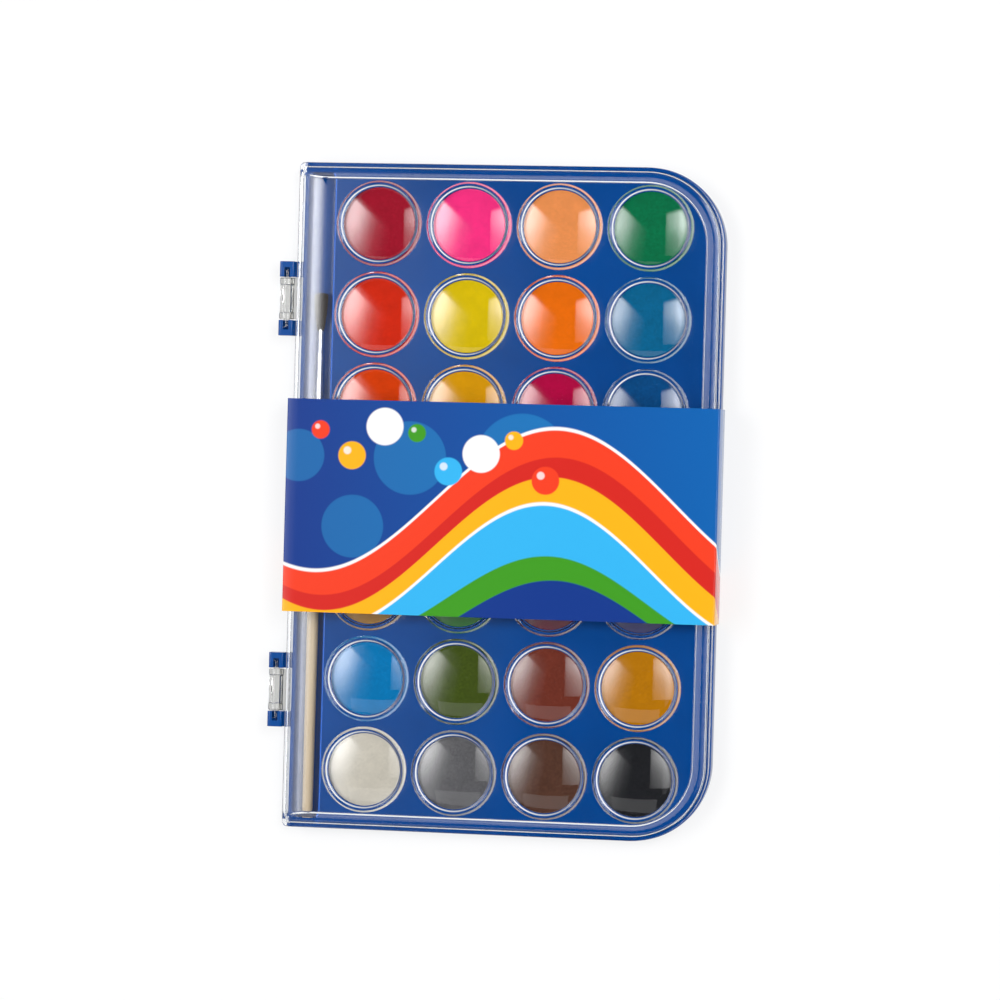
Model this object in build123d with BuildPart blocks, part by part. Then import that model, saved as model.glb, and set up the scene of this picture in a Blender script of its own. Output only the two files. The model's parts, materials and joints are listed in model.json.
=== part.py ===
"""Watercolour paint case: a welled tray, a lens-domed clear lid, pressed paint cakes, a brush and a card band.

Millimetres, +Z up. The case lies closed with its hinge along Y on the -X side. The origin is on the
ground at the middle of the overall outline, which includes the hinge ears and the card band.
"""

import os
from math import asin, cos, pi, radians, sin, sqrt

from build123d import *

os.makedirs("parts", exist_ok=True)

# Case plan: near-square corners at the hinge side, large ones at the free side
case_width = 132.5
case_length = 206.0
free_corner_radius = 24.0
hinge_corner_radius = 2.0
least_fillet = 0.3

# Heights of the tray
foot_height = 0.6
rim_height = 6.8
deck_height = 8.0
deck_thickness = 1.2
floor_height = 2.6
floor_thickness = 1.0
tray_wall = 1.6
foot_size = 9.0
foot_inset = 12.5
rib_width = 1.7
rib_spacing = 199.5

# Paint wells and the cakes pressed into them: many-sided, to keep the mesh light
well_columns = 4
well_rows = 7
well_pitch = 28.0
well_radius = 11.7
free_margin = 22.4
cake_clearance = 0.3
cake_thickness = 3.8
well_sides = 26
core_wall = 1.2

# Brush channel beside the hinge
channel_width = 8.0
channel_length = 198.4
channel_corner_radius = 2.0
channel_wall = 1.3

# Lid
lid_reveal = 0.35
lid_wall = 1.2
lid_fit = 0.3
seat_gap = 0.1
ledge_height = 11.5
ledge_width = 3.0
plateau_height = 13.0
plate_thickness = 1.3
plateau_edge = 1.3
shoulder_radius = 12.0
shoulder_width = 6.8
dome_radius = 11.2
dome_rise = 1.5
open_lid_gap = 0.1

# Snap ridges on the free side of the deck's lip
snap_length = 30.0
snap_height = 0.4
snap_reach = 0.2
snap_spacing = 98.0
snap_rise = 0.3

# Hinges: a clear barrel with a pin at each end, held in two blue ears
hinge_spacing = 121.2
hinge_length = 23.0
hinge_offset = 3.3
barrel_length = 12.8
barrel_radius = 2.4
barrel_collar = 2.0
barrel_waist = 0.35
barrel_web = 1.7
hinge_side_gap = 0.3
pin_radius = 1.0
pin_clearance = 0.05
pin_length = 2.6
pin_mouth = 1.7
ear_wall = 1.9
ear_rise = 1.5
ear_depth = 3.2
ear_corner_radius = 0.8

# Card band
card_thickness = 0.35
band_gap = 0.3
band_width = 65.6
band_middle = -3.2
band_lift = 0.15

# Brush, pointing towards +Y
brush_end = -98.7
brush_sides = 20
brush_clearance = 0.3
handle_radius = 1.6
handle_swell = 1.9
handle_tip_radius = 0.9
handle_cheek_radius = 1.4
handle_cheek = 0.5
swell_distance = 14.0
tenon_length = 5.0
ferrule_start = 23.0
ferrule_length = 28.8
ferrule_root_radius = 1.4
ferrule_mouth_radius = 0.8
ferrule_wall = 0.15
ferrule_clearance = 0.03
crimp_distance = 9.0
crimp_depth = 0.12
crimp_width = 0.8
tuft_length = 11.0
tuft_slice = 1.0
tuft_slice_depth = 1.6
tuft_spread = 1.6
tuft_round = 1.3
strand_count = 300
strand_radius = 0.036

# Derived places
hinge_reach = hinge_offset + barrel_radius
band_reach = band_gap + card_thickness
left = (hinge_reach - case_width - band_reach) / 2
right = left + case_width
case_middle = (left + right) / 2
lid_seat = rim_height + seat_gap
lid_left = left + lid_reveal
deck_inset = lid_reveal + lid_wall + lid_fit
hinge_x = left - hinge_offset
hinge_z = (plateau_height + dome_rise + open_lid_gap) / 2
recess_height = floor_height - floor_thickness
cake_radius = well_radius - cake_clearance
channel_left = left + deck_inset + channel_wall
channel_middle = channel_left + channel_width / 2

wells_middle = right - free_margin - (well_columns - 1) / 2 * well_pitch
well_centres = [
    (
        wells_middle + (column - (well_columns - 1) / 2) * well_pitch,
        ((well_rows - 1) / 2 - row) * well_pitch,
    )
    for row in range(well_rows)
    for column in range(well_columns)
]
hinge_centres = (hinge_spacing / 2, -hinge_spacing / 2)


def case_plan(inset):
    """Draws the case's plan with its wall line moved in by the inset."""
    with Locations((case_middle, 0)):
        Rectangle(case_width - 2 * inset, case_length - 2 * inset)
    fillet(vertices().group_by(Axis.X)[-1], free_corner_radius - inset)
    fillet(vertices().group_by(Axis.X)[0], max(hinge_corner_radius - inset, least_fillet))


def plateau_plan(inset):
    """Draws the lid's raised plateau, which reaches the hinge wall and stands back from the other three."""
    free_inset = lid_reveal + ledge_width + inset
    length = case_length - 2 * free_inset
    start = lid_left + inset
    end = right - free_inset
    with Locations(((start + end) / 2, 0)):
        Rectangle(end - start, length)
    fillet(vertices().group_by(Axis.X)[-1], free_corner_radius - free_inset)


def shoulder_profile(inset):
    """The lid's side view: flat on top, with a shallow round shoulder that falls past the hinge wall."""
    top = plateau_height - inset
    start = lid_left + shoulder_width
    radius = shoulder_radius - inset
    reach = shoulder_width + lid_wall
    half_turn = asin(reach / radius) / 2
    corner = (start - reach, top - radius + sqrt(radius**2 - reach**2))
    middle = (start - radius * sin(half_turn), top - radius + radius * cos(half_turn))
    with BuildSketch(Plane.XZ) as profile:
        with BuildLine():
            ThreePointArc((start, top), middle, corner)
            Polyline(corner, (corner[0], 0), (right, 0), (right, top), (start, top))
        make_face()
    return profile.sketch


# Tray
with BuildPart() as base_tray:
    # Body up to the rim, and the deck standing inside the lid's wall
    with BuildSketch(Plane.XY.offset(foot_height)):
        case_plan(0)
    extrude(amount=rim_height - foot_height)
    with BuildSketch(Plane.XY.offset(rim_height)):
        case_plan(deck_inset)
    extrude(amount=deck_height - rim_height)

    # Round wells and the brush channel
    with BuildSketch(Plane.XY.offset(floor_height)):
        with Locations(*well_centres):
            RegularPolygon(well_radius, well_sides)
    extrude(amount=deck_height - floor_height, mode=Mode.SUBTRACT)
    with BuildSketch(Plane.XY.offset(floor_height)):
        with Locations((channel_middle, 0)):
            RectangleRounded(channel_width, channel_length, channel_corner_radius)
    extrude(amount=deck_height - floor_height, mode=Mode.SUBTRACT)

    # Underside: a shallow recess inside the outer wall, and a coring pocket between every four wells
    hinge_strip = deck_inset + channel_wall
    with BuildSketch(Plane.XY.offset(foot_height)):
        case_plan(tray_wall)
        with Locations((left + hinge_strip / 2, 0)):
            Rectangle(hinge_strip, case_length, mode=Mode.SUBTRACT)
    extrude(amount=recess_height - foot_height, mode=Mode.SUBTRACT)
    core_reach = well_pitch - sqrt(2) * (well_radius + core_wall)
    with BuildSketch(Plane.XY.offset(recess_height)):
        with Locations((wells_middle, 0)):
            with GridLocations(well_pitch, well_pitch, well_columns - 1, well_rows - 1):
                RegularPolygon(core_reach, 4)
    extrude(amount=deck_height - deck_thickness - recess_height, mode=Mode.SUBTRACT)

    # On the hinge side the wall stands back to the deck's lip, with a rib under each end of the lid's wall
    with Locations((left + deck_inset / 2, 0, rim_height / 2)):
        Box(deck_inset, case_length, rim_height, mode=Mode.SUBTRACT)
    rib_reach = deck_inset + channel_wall / 2
    for rib_y in (rib_spacing / 2, -rib_spacing / 2):
        with Locations((left + rib_reach / 2, rib_y, (foot_height + rim_height) / 2)):
            Box(rib_reach, rib_width, rim_height - foot_height)

    # Four feet that lift the underside clear of the band's bottom panel
    with BuildSketch():
        with Locations((case_middle, 0)):
            with GridLocations(case_width - 2 * foot_inset, case_length - 2 * foot_inset, 2, 2):
                Rectangle(foot_size, foot_size)
    extrude(amount=recess_height)

    # Snap ridges on the free side of the deck's lip
    snap_middle = rim_height + snap_rise + snap_height / 2
    for snap_y in (snap_spacing / 2, -snap_spacing / 2):
        with Locations((right - deck_inset, snap_y, snap_middle)):
            Box(2 * snap_reach, snap_length, snap_height)

    # Hinge ears: an outer end wall, and a cradle that is open on top
    for hinge_y in hinge_centres:
        for side in (-1, 1):
            inner = hinge_y + side * (barrel_length / 2 + hinge_side_gap)
            outer = hinge_y + side * hinge_length / 2
            with BuildSketch(Plane.XZ.offset(-(inner + outer) / 2)):
                with Locations((hinge_x, hinge_z)):
                    with Locations((0, (ear_rise - ear_depth) / 2)):
                        RectangleRounded(2 * barrel_radius, ear_rise + ear_depth, ear_corner_radius)
                web_start = hinge_z - ear_depth
                web_end = left + rib_reach
                with Locations(((hinge_x + web_end) / 2, (web_start + rim_height) / 2)):
                    Rectangle(web_end - hinge_x, rim_height - web_start)
            extrude(amount=abs(outer - inner) / 2, both=True)
            wall_face = outer - side * ear_wall
            with BuildSketch(Plane.XZ.offset(-(inner + wall_face) / 2)):
                with Locations((hinge_x, hinge_z)):
                    Circle(pin_radius + pin_clearance)
                    with Locations((0, ear_rise)):
                        Rectangle(pin_mouth, 2 * ear_rise)
            extrude(amount=abs(wall_face - inner) / 2, both=True, mode=Mode.SUBTRACT)
base_tray.part.label = "base_tray"
export_step(base_tray.part, "parts/base_tray.step")

# Paint cakes, row by row from the +Y end, hinge side first
cake_colours = (
    ("crimson", "hot_pink", "peach", "emerald"),
    ("vermilion", "lemon_yellow", "orange", "teal"),
    ("scarlet", "amber", "magenta", "azure"),
    ("coral", "lime_green", "plum", "turquoise"),
    ("gold_ochre", "grass_green", "maroon", "indigo"),
    ("sky_blue", "olive", "russet", "yellow_ochre"),
    ("white", "grey", "dark_brown", "black"),
)
cake_names = [f"{colour}_cake" for colours in cake_colours for colour in colours]
for name, centre in zip(cake_names, well_centres):
    with BuildPart() as cake:
        with BuildSketch(Plane.XY.offset(floor_height)):
            with Locations(centre):
                RegularPolygon(cake_radius, well_sides)
        extrude(amount=cake_thickness)
    cake.part.label = name
    export_step(cake.part, f"parts/{name}.step")

# Space inside the lid, under the ledge and under the plateau
with BuildPart() as lid_space:
    with BuildSketch(Plane.XY.offset(lid_seat)):
        case_plan(lid_reveal + lid_wall)
    extrude(amount=ledge_height - plate_thickness - lid_seat)
    with BuildSketch(Plane.XY.offset(lid_seat)):
        plateau_plan(lid_wall)
    extrude(amount=plateau_height - plate_thickness - lid_seat)
    extrude(shoulder_profile(plate_thickness), amount=case_length, both=True, mode=Mode.INTERSECT)

# One lens dome, cut from a ball that lies on its side
dome_ball = (dome_radius**2 + dome_rise**2) / (2 * dome_rise)
with BuildPart() as dome_cap:
    with Locations((0, 0, plateau_height + dome_rise - dome_ball)):
        Sphere(dome_ball, rotation=(90, 0, 0))
    split(bisect_by=Plane.XY.offset(plateau_height), keep=Keep.TOP)

# Lid
with BuildPart() as lid:
    # Skirt and ledge, with the plateau on it
    with BuildSketch(Plane.XY.offset(lid_seat)):
        case_plan(lid_reveal)
    extrude(amount=ledge_height - lid_seat)
    with BuildSketch(Plane.XY.offset(ledge_height)):
        plateau_plan(0)
    extrude(amount=plateau_height - ledge_height)
    chamfer(faces().sort_by(Axis.Z)[-1].edges().sort_by(Axis.X)[1:], plateau_edge)
    extrude(shoulder_profile(0), amount=case_length, both=True, mode=Mode.INTERSECT)
    add(lid_space.part, mode=Mode.SUBTRACT)

    # A lens dome over every well
    with Locations(*[(x, y, 0) for x, y in well_centres]):
        add(dome_cap.part)

    # Hinge barrels on webs, with a pin at each end
    for hinge_y in hinge_centres:
        with Locations((hinge_x, hinge_y, hinge_z)):
            Cylinder(barrel_radius - barrel_waist, barrel_length, rotation=(90, 0, 0))
            Cylinder(pin_radius, barrel_length + 2 * pin_length, rotation=(90, 0, 0))
            collar_place = (barrel_length - barrel_collar) / 2
            with Locations((0, collar_place, 0), (0, -collar_place, 0)):
                Cylinder(barrel_radius, barrel_collar, rotation=(90, 0, 0))
        web_length = lid_left + lid_wall / 2 - hinge_x
        with Locations((hinge_x + web_length / 2, hinge_y, hinge_z + barrel_web / 2)):
            Box(web_length, barrel_length, barrel_web)
lid.part.label = "lid"
export_step(lid.part, "parts/lid.step")

# Brush: three pieces on one line in the channel
brush_height = floor_height + brush_clearance + handle_swell
ferrule_end = ferrule_start + ferrule_length
tenon_end = ferrule_start + tenon_length
crimp = ferrule_start + crimp_distance


def brush_section(place, radius):
    """The brush's near-round section at a place along its length."""
    across = Plane(origin=(channel_middle, place, brush_height), x_dir=(1, 0, 0), z_dir=(0, 1, 0))
    with BuildSketch(across) as section:
        RegularPolygon(radius, brush_sides)
    return section.sketch


def ferrule_radius(place):
    """The ferrule's outer radius at a place along the brush."""
    share = (place - ferrule_start) / ferrule_length
    return ferrule_root_radius + (ferrule_mouth_radius - ferrule_root_radius) * share


def ferrule_bore(place):
    """The radius of what fits inside the ferrule at a place along the brush."""
    return ferrule_radius(place) - ferrule_wall - ferrule_clearance


with BuildPart() as brush_handle:
    handle_stations = (
        (brush_end, handle_tip_radius),
        (brush_end + handle_cheek, handle_cheek_radius),
        (brush_end + 3 * handle_cheek, handle_radius),
        (ferrule_start - swell_distance, handle_swell),
        (ferrule_start, ferrule_root_radius),
    )
    loft([brush_section(place, radius) for place, radius in handle_stations], ruled=True)
    tenon_stations = (ferrule_start, tenon_end)
    loft([brush_section(place, ferrule_bore(place)) for place in tenon_stations], ruled=True)
brush_handle.part.label = "brush_handle"
export_step(brush_handle.part, "parts/brush_handle.step")

with BuildPart() as brush_ferrule:
    ferrule_stations = (
        (ferrule_start, ferrule_root_radius),
        (crimp - crimp_width / 2, ferrule_radius(crimp - crimp_width / 2)),
        (crimp, ferrule_radius(crimp) - crimp_depth),
        (crimp + crimp_width / 2, ferrule_radius(crimp + crimp_width / 2)),
        (ferrule_end, ferrule_mouth_radius),
    )
    loft([brush_section(place, radius) for place, radius in ferrule_stations], ruled=True)
    bore_stations = (ferrule_start, ferrule_end)
    bore_sections = [brush_section(place, ferrule_radius(place) - ferrule_wall) for place in bore_stations]
    loft(bore_sections, ruled=True, mode=Mode.SUBTRACT)
brush_ferrule.part.label = "brush_ferrule"
export_step(brush_ferrule.part, "parts/brush_ferrule.step")

# Bristle strands: three-sided points in a sunflower pattern, spreading so that none cross
slice_radius = ferrule_bore(ferrule_end)
slice_start = ferrule_end - tuft_slice_depth
strand_start = slice_start + tuft_slice / 2
strand_turn = 180 * (3 - sqrt(5))
strands = []
for index in range(strand_count):
    share = sqrt((index + 0.5) / strand_count)
    reach = (slice_radius * cos(pi / brush_sides) - 2 * strand_radius) * share
    across = reach * cos(radians(index * strand_turn))
    up = reach * sin(radians(index * strand_turn))
    tip = ferrule_end + tuft_length - tuft_round * share**4
    root = Plane(origin=(channel_middle + across, strand_start, brush_height + up), z_dir=(0, 1, 0))
    strand_tip = Vertex(channel_middle + tuft_spread * across, tip, brush_height + tuft_spread * up)
    strands.append(Solid.make_loft([(root * RegularPolygon(strand_radius, 3)).wire(), strand_tip], ruled=True))

with BuildPart() as brush_bristles:
    extrude(brush_section(slice_start, slice_radius), amount=tuft_slice)
    add(strands)
brush_bristles.part.label = "brush_bristles"
export_step(brush_bristles.part, "parts/brush_bristles.step")

# Card band: one closed turn of card round the case
band_low = band_lift + card_thickness
band_high = plateau_height + dome_rise + band_gap
band_inner_width = case_width + 2 * band_gap
with BuildPart() as card_band:
    with BuildSketch(Plane.XZ.offset(-band_middle)):
        with Locations((case_middle, (band_low + band_high) / 2)):
            Rectangle(band_inner_width + 2 * card_thickness, band_high - band_low + 2 * card_thickness)
            Rectangle(band_inner_width, band_high - band_low, mode=Mode.SUBTRACT)
    extrude(amount=band_width / 2, both=True)
card_band.part.label = "card_band"
export_step(card_band.part, "parts/card_band.step")
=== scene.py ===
"""Watercolour paint case: the looks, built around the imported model, in metres."""

import json
import math

import bpy
import bmesh
import numpy as np
from mathutils import Matrix, Vector


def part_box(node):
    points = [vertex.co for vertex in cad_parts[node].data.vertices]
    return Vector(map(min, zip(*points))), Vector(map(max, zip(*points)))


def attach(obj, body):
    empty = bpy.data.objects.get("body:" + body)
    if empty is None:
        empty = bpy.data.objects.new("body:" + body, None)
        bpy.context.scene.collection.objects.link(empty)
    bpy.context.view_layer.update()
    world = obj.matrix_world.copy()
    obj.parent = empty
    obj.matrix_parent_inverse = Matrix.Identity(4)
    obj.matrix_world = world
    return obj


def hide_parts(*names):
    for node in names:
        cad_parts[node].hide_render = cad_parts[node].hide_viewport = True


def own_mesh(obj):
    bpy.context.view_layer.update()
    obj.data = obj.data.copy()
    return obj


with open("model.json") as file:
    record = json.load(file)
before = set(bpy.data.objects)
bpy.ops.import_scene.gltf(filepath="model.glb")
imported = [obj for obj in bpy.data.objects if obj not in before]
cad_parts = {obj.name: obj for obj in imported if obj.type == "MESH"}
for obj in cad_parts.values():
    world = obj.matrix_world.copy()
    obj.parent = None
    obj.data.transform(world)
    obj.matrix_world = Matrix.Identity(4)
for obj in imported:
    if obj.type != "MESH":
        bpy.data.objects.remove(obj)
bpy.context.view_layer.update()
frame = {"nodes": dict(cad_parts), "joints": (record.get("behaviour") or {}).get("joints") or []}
mm = 0.001

# Camera
# It stands more than a metre above the case and to the right of it, so that the view is tilted by nine
# degrees, and it is turned a little about its own line of sight.
camera_place = Vector((182.0, 6.0, 1161.3)) * mm
camera_aim = Vector((2.4, 0.1, 13.0)) * mm
camera_roll = math.radians(1.63)
focal_pixels = 3800.0
picture_pixels = 1000.0
farthest_view = 20.0

sight = (camera_aim - camera_place).normalized()
level = sight.cross(Vector((0, 1, 0))).normalized()
upright = level.cross(sight)
right_hand = level * math.cos(camera_roll) + upright * math.sin(camera_roll)
camera_up = upright * math.cos(camera_roll) - level * math.sin(camera_roll)
camera = bpy.data.objects.new("camera", bpy.data.cameras.new("camera"))
camera.data.lens = camera.data.sensor_width * focal_pixels / picture_pixels
camera.data.clip_end = farthest_view
camera.matrix_world = Matrix((right_hand, camera_up, -sight)).transposed().to_4x4()
camera.location = camera_place
bpy.context.scene.collection.objects.link(camera)
bpy.context.scene.camera = camera
bpy.context.scene.view_settings.view_transform = "Standard"

# Studio light
# Two wide panels hang over the case and leave a dark gap between them, so that the flat plastic stays clear
# and only domes, folds and rounded edges catch them. Both fade towards the gap and the near side, and their
# far ends are cut at a slant. A faint third panel hangs over the near side. A weak sky fills the shadows,
# and clear plastic also sees a white horizon, brighter on the right.
# Spans and cuts are slopes, sideways and lengthways, as seen from the middle of the table. A stop is a share
# of a span and the light's level there.
left_panel = ((-1.4, -0.12), (-0.62, 0.80))
left_height = 1.6
left_cut = (-0.019, -0.83)
left_lean = -0.15
left_stops = (
    (0.04, 0.08), (0.234, 0.18), (0.367, 0.38), (0.433, 0.62), (0.547, 1.0), (0.652, 0.84), (0.742, 0.5),
    (0.82, 0.19), (0.898, 0.055), (0.969, 0.02), (1.0, 0.0),
)
left_far_stops = ((0.15, 0.2), (0.3, 0.46), (0.36, 0.6), (0.39, 0.65), (0.54, 1.0), (1.0, 1.05))
left_radiance = 8.0
right_panel = ((0.16, 0.66), (-0.27, 0.56))
right_height = 1.0
right_cut = (0.30, 0.4)
right_stops = ((0.0, 0.15), (0.08, 0.35), (0.22, 0.5), (0.34, 0.68), (0.54, 0.95), (1.0, 1.0))
right_far_stops = (
    (0.0, 0.17), (0.12, 0.26), (0.265, 0.36), (0.325, 0.42), (0.446, 0.63), (0.566, 0.93), (0.663, 1.0),
)
right_radiance = 11.0
near_panel = ((-0.49, 0.26), (-0.66, -0.41))
near_height = 1.8
near_radiance = 0.8
cut_softness = 0.05
sky_fill = 0.45
horizon_top = 0.68
overhead_start = 0.76
overhead_glow = 0.006
horizon_right = 0.35


def feed(tree, fed, feeds):
    """Feeds a node's sockets, by name or number, from other sockets or with values."""
    for socket, source in dict(feeds).items():
        if isinstance(source, bpy.types.NodeSocket):
            tree.links.new(source, fed.inputs[socket])
        else:
            fed.inputs[socket].default_value = source


def node(tree, kind, feeds=(), **settings):
    """Adds a shader node, sets its properties and feeds its sockets."""
    made = tree.nodes.new("ShaderNode" + kind)
    for setting, value in settings.items():
        setattr(made, setting, value)
    feed(tree, made, feeds)
    return made


def maths(tree, operation, *values):
    """One sum or comparison, on sockets or constants."""
    return node(tree, "Math", dict(enumerate(values)), operation=operation).outputs[0]


def map_range(tree, value, start, end, low=0.0, high=1.0, **settings):
    """Carries a value from one range over to another, and stops it at both ends."""
    feeds = {"Value": value, "From Min": start, "From Max": end, "To Min": low, "To Max": high}
    return node(tree, "MapRange", feeds, **settings).outputs[0]


def soft_step(tree, value, softness):
    """1 where a value is positive and 0 where it isn't, with a soft edge."""
    return map_range(tree, value, -softness, softness, interpolation_type="SMOOTHSTEP")


def ramp(tree, value, stops):
    """Grey levels along a value, given as pairs of place and level."""
    made = node(tree, "ValToRGB", {0: value})
    while len(made.color_ramp.elements) < len(stops):
        made.color_ramp.elements.new(0.5)
    for element, (place, level) in zip(made.color_ramp.elements, stops):
        element.position = place
        element.color = (level, level, level, 1)
    return made.outputs[0]


def light_panel(name, spans, height, radiance):
    """A level lamp that covers the given slopes to the side and lengthways.

    It returns the lamp's shader tree and the slopes of the point that shines.
    """
    (left, right), (near, far) = spans
    lamp = bpy.data.lights.new(name, "AREA")
    lamp.shape = "RECTANGLE"
    lamp.size = (right - left) * height
    lamp.size_y = (far - near) * height
    lamp.energy = radiance * math.pi * lamp.size * lamp.size_y
    lamp.use_nodes = True
    panel = bpy.data.objects.new(name, lamp)
    panel.location = ((left + right) / 2 * height, (near + far) / 2 * height, height)
    bpy.context.scene.collection.objects.link(panel)
    tree = lamp.node_tree
    place = node(tree, "SeparateXYZ", {0: node(tree, "NewGeometry").outputs["Position"]})
    sideways = maths(tree, "DIVIDE", place.outputs[0], height)
    lengthways = maths(tree, "DIVIDE", place.outputs[1], height)
    return tree, sideways, lengthways


def shade_panel(lamp, spans, stops, far_stops, cut, lean=0.0):
    """Fades a lamp sideways and lengthways, and ends its far side at a slanted line with a soft edge."""
    tree, sideways, lengthways = lamp
    leaning = maths(tree, "MULTIPLY_ADD", lengthways, lean, sideways)
    strength = 1.0
    for value, (start, end), levels in ((leaning, spans[0], stops), (lengthways, spans[1], far_stops)):
        share = map_range(tree, value, start, end)
        strength = maths(tree, "MULTIPLY", ramp(tree, share, levels), strength)
    line = maths(tree, "MULTIPLY_ADD", sideways, cut[1], cut[0])
    inside = soft_step(tree, maths(tree, "SUBTRACT", line, lengthways), cut_softness)
    feed(tree, tree.nodes["Emission"], {"Strength": maths(tree, "MULTIPLY", strength, inside)})


left_lamp = light_panel("left_panel", left_panel, left_height, left_radiance)
shade_panel(left_lamp, left_panel, left_stops, left_far_stops, left_cut, left_lean)
right_lamp = light_panel("right_panel", right_panel, right_height, right_radiance)
shade_panel(right_lamp, right_panel, right_stops, right_far_stops, right_cut)
light_panel("near_panel", near_panel, near_height, near_radiance)

world = bpy.data.worlds.new("studio")
world.use_nodes = True
bpy.context.scene.world = world
tree = world.node_tree
direction = node(tree, "SeparateXYZ", {0: node(tree, "TexCoord").outputs["Generated"]})
horizon = map_range(tree, direction.outputs[2], horizon_top, overhead_start, 1.0, overhead_glow)
to_right = maths(tree, "MULTIPLY_ADD", direction.outputs[0], horizon_right, 1 - horizon_right)
horizon = maths(tree, "MULTIPLY", horizon, to_right)
ray = node(tree, "LightPath")
mirrored = maths(tree, "MAXIMUM", ray.outputs["Is Glossy Ray"], ray.outputs["Is Transmission Ray"])
fill = node(tree, "Mix", {0: mirrored, 2: sky_fill, 3: horizon}).outputs[0]
fill = node(tree, "Mix", {0: ray.outputs["Is Camera Ray"], 2: fill, 3: 1.0}).outputs[0]
feed(tree, tree.nodes["Background"], {"Color": (1, 1, 1, 1), "Strength": fill})

# Table
# A white table top, a little brighter to the eye and to clear plastic than to the light that it throws back.
table_half = 3.0
table_white = (0.9, 0.9, 0.9, 1)
table_glow = 0.75


def mesh_object(name, vertices, faces, *materials):
    """Makes an object at the origin from vertices in metres and lists of corner numbers."""
    mesh = bpy.data.meshes.new(name)
    mesh.from_pydata(np.asarray(vertices, float).tolist(), [], np.asarray(faces).tolist())
    mesh.validate()
    for material in materials:
        mesh.materials.append(material)
    piece = bpy.data.objects.new(name, mesh)
    bpy.context.scene.collection.objects.link(piece)
    return piece


def new_material(name, values):
    """A material whose main shader takes the given values."""
    material = bpy.data.materials.new(name)
    material.use_nodes = True
    tree = material.node_tree
    shader = tree.nodes["Principled BSDF"]
    feed(tree, shader, values)
    return material, tree, shader


def mix_into_surface(tree, share, first, second):
    """Makes a mix of two shaders the surface of a material."""
    mixed = node(tree, "MixShader", {0: share, 1: first.outputs[0], 2: second.outputs[0]})
    feed(tree, tree.nodes["Material Output"], {"Surface": mixed.outputs[0]})


table_material, tree, table_surface = new_material(
    "white_table", {"Base Color": table_white, "Roughness": 0.9, "Specular IOR Level": 0.0}
)
ray = node(tree, "LightPath")
seen = maths(tree, "MAXIMUM", ray.outputs["Is Camera Ray"], ray.outputs["Is Glossy Ray"])
seen = maths(tree, "MAXIMUM", seen, ray.outputs["Is Transmission Ray"])
mix_into_surface(tree, maths(tree, "MULTIPLY", seen, table_glow), table_surface, node(tree, "Emission"))
table_corners = [(x * table_half, y * table_half, 0) for x, y in ((-1, -1), (1, -1), (1, 1), (-1, 1))]
mesh_object("table", table_corners, [(0, 1, 2, 3)], table_material)

# Places shared with the solids
# The wells and domes stand on one grid of seven rows by four columns. Their middles come from the packed
# model's paint cakes, and the case's outline from its tray.
well_pitch = 28.0 * mm
cake_nodes = sorted(name for name in frame["nodes"] if name.endswith("_cake"))
cake_boxes = {name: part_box(name) for name in cake_nodes}
cake_centres = {name: ((low + high) / 2).xy for name, (low, high) in cake_boxes.items()}
cake_floor = min(low.z for low, high in cake_boxes.values())
grid_middle = np.mean([tuple(centre) for centre in cake_centres.values()], axis=0)
column_places = [grid_middle[0] + (column - 1.5) * well_pitch for column in range(4)]
row_places = [grid_middle[1] + (row - 3) * well_pitch for row in range(7)]
well_centres = [(x, y) for y in row_places for x in column_places]
case_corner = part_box("base_tray")[1]
case_width = 132.5 * mm
case_half = case_corner.y
case_right = case_corner.x
case_left = case_right - case_width
free_radius = 24.0 * mm
lid_reveal = 0.35 * mm
lid_wall = 1.2 * mm
deck_inset = 1.85 * mm
deck_height = 8.0 * mm
rim_height = 6.8 * mm
field_left = column_places[0] - well_pitch / 2
side_steps = 18
flat_margin = 0.15 * mm
flat_share = 0.985
weld_distance = 0.002 * mm
shoulder_shares = np.concatenate([[0.0, 0.08], np.linspace(0.14, 1, 18)])
hinge_turn = np.linspace(np.pi / 2, np.pi, 7)


def joined(*axes):
    """Points from their coordinates, each given for every point, row or column, or once for all."""
    return np.stack(np.broadcast_arrays(*axes), -1)


def lifted(line, height):
    """Points seen from above, raised to one height."""
    return np.insert(line, 2, height, axis=1)


def unit_steps(turn):
    """Steps of length 1 in the given directions: the cosine and the sine of each."""
    return joined(np.cos(turn), np.sin(turn))


def grid_faces(rows, columns, closed, start=0):
    """Four-cornered faces between the neighbours of a grid whose points are numbered row by row."""
    across = np.arange(columns if closed else columns - 1)
    row, column = np.meshgrid(np.arange(rows - 1), across, indexing="ij")
    following = (column + 1) % columns
    corners = (row * columns + column, row * columns + following)
    corners += ((row + 1) * columns + following, (row + 1) * columns + column)
    return start + np.stack([corner.ravel() for corner in corners], 1)


def shell(name, grids, *materials, smooth_angle=35.0):
    """Joins grids of points into one smooth piece and closes their seams.

    Each grid is (points by row and column, whether its columns close into a ring, whether to turn it over).
    """
    vertices, faces, count = [], [], 0
    for points, closed, turned_over in grids:
        rows, columns, _ = points.shape
        patch = grid_faces(rows, columns, closed, count)
        faces.append(patch[:, ::-1] if turned_over else patch)
        vertices.append(points.reshape(-1, 3))
        count += rows * columns
    piece = mesh_object(name, np.concatenate(vertices), np.concatenate(faces), *materials)
    work = bmesh.new()
    work.from_mesh(piece.data)
    bmesh.ops.remove_doubles(work, verts=work.verts, dist=weld_distance)
    bmesh.ops.dissolve_degenerate(work, edges=work.edges, dist=weld_distance)
    work.to_mesh(piece.data)
    work.free()
    piece.data.shade_smooth()
    piece.data.set_sharp_from_angle(angle=math.radians(smooth_angle))
    return piece


def vectors_of(items, value):
    """A vector of every vertex or face of a mesh, one row each."""
    values = np.empty(len(items) * 3)
    items.foreach_get(value, values)
    return values.reshape(-1, 3)


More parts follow.
